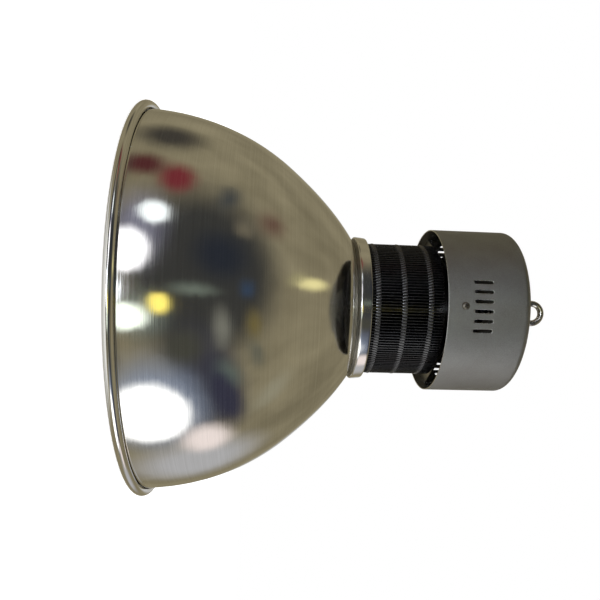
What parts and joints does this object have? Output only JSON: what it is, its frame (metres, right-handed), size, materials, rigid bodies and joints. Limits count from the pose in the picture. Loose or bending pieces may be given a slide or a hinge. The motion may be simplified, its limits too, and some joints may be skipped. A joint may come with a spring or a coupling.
{
  "type": "high bay light",
  "caption": "High bay light: deep spun bell reflector, polished neck ring, round finned heat sink, slotted driver housing and lifting eye.",
  "frame": {"origin": "centre of the bell's rolled rim, on the plane that the rim stands on", "axes": "+Z along the lamp axis from the bell's mouth to the lifting eye, +Y towards the cable gland"},
  "size_m": [0.4104, 0.4102, 0.4415],
  "materials": {
    "spun_aluminium": "spun and brushed round the axis, half bright",
    "polished_ring": "polished",
    "black_anodised": "black anodised",
    "thermal_pad": "matt",
    "led_board": "white solder mask",
    "phosphor": "yellow phosphor gel",
    "glass": "clear toughened glass",
    "silicone": "matt",
    "turned_aluminium": "turned",
    "plated_plate": "black painted steel sheet",
    "driver_shell": "anodised",
    "moulded_plastic": "moulded",
    "silver_housing": "silver grey, fine grain",
    "screw_steel": "plated",
    "zinc_steel": "bright zinc plated",
    "gland_nylon": "moulded nylon",
    "lead_jacket": "white silicone jacket"
  },
  "bodies": {
    "root": {"reflector": "spun_aluminium", "neck_ring": "polished_ring", "heat_sink_core": "black_anodised", "fin_stack": "black_anodised", "fin_tab_rows": "black_anodised", "thermal_pad": "thermal_pad", "led_board": "led_board", "led_emitter": "phosphor", "cover_glass": "glass", "glass_gasket": "silicone", "gland_seal": "silicone", "gland_washer": "silicone", "glass_retainer": "turned_aluminium", "driver_plate": "plated_plate", "driver_case": "driver_shell", "driver_end_caps": "moulded_plastic", "terminal_block": "moulded_plastic", "housing": "silver_housing", "led_screws": "screw_steel", "neck_screws": "screw_steel", "plate_screws": "screw_steel", "driver_screws": "screw_steel", "driver_spacers": "screw_steel", "housing_screws": "screw_steel", "eye_bolt": "zinc_steel", "eye_washer": "zinc_steel", "eye_spring_washer": "zinc_steel", "eye_nut_outer": "zinc_steel", "eye_load_washer": "zinc_steel", "eye_nut_inner": "zinc_steel", "gland_body": "gland_nylon", "gland_cap": "gland_nylon", "gland_locknut": "gland_nylon", "led_lead": "lead_jacket"}
  },
  "joints": []
}
